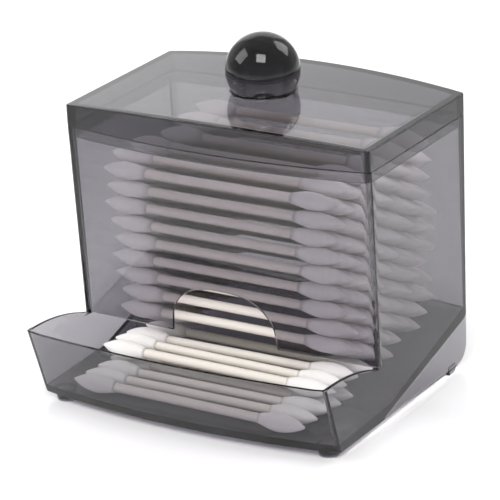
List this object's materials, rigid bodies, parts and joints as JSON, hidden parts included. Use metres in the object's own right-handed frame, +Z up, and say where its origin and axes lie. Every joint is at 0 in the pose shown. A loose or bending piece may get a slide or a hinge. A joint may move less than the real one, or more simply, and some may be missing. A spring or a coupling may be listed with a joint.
{
  "type": "cotton swab dispenser",
  "caption": "Clear smoke-grey box with a crowned lift-off lid and ball knob, a sloping floor, an arched finger notch and an open front tray, filled with pointed cotton swabs",
  "frame": {"origin": "on the table, under the middle of the whole object", "axes": "+X runs along the swabs, -Y is the side with the tray, +Z is up"},
  "size_m": [0.096, 0.0846, 0.0996],
  "materials": {
    "smoke_plastic": "clear smoke-grey moulded plastic, polished",
    "knob_plastic": "solid dark smoke moulded plastic, polished",
    "paper_stick": "rolled white paper, slightly warm, matt",
    "cotton": "wound white cotton, soft"
  },
  "bodies": {
    "box": {"dispenser_body": "smoke_plastic", "layer_01_buds": "cotton", "layer_01_sticks": "paper_stick", "layer_02_buds": "cotton", "layer_02_sticks": "paper_stick", "layer_03_buds": "cotton", "layer_03_sticks": "paper_stick", "layer_04_buds": "cotton", "layer_04_sticks": "paper_stick", "layer_05_buds": "cotton", "layer_05_sticks": "paper_stick", "layer_06_buds": "cotton", "layer_06_sticks": "paper_stick", "layer_07_buds": "cotton", "layer_07_sticks": "paper_stick", "layer_08_buds": "cotton", "layer_08_sticks": "paper_stick", "layer_09_buds": "cotton", "layer_09_sticks": "paper_stick", "layer_10_buds": "cotton", "layer_10_sticks": "paper_stick", "layer_11_buds": "cotton", "layer_11_sticks": "paper_stick", "tray_swab_1_buds": "cotton", "tray_swab_1_stick": "paper_stick", "tray_swab_2_buds": "cotton", "tray_swab_2_stick": "paper_stick", "tray_swab_3_buds": "cotton", "tray_swab_3_stick": "paper_stick", "tray_swab_4_buds": "cotton", "tray_swab_4_stick": "paper_stick", "tray_swab_5_buds": "cotton", "tray_swab_5_stick": "paper_stick", "tray_swab_6_buds": "cotton", "tray_swab_6_stick": "paper_stick", "tray_swab_7_buds": "cotton", "tray_swab_7_stick": "paper_stick", "tray_swab_8_buds": "cotton", "tray_swab_8_stick": "paper_stick"},
    "cover": {"lid": "smoke_plastic", "knob": "knob_plastic"}
  },
  "joints": [
    {"name": "lid_lift", "type": "slide", "parent": "box", "child": "cover", "axis": [0, 0, 1], "range_m": [0, 0.03]}
  ]
}
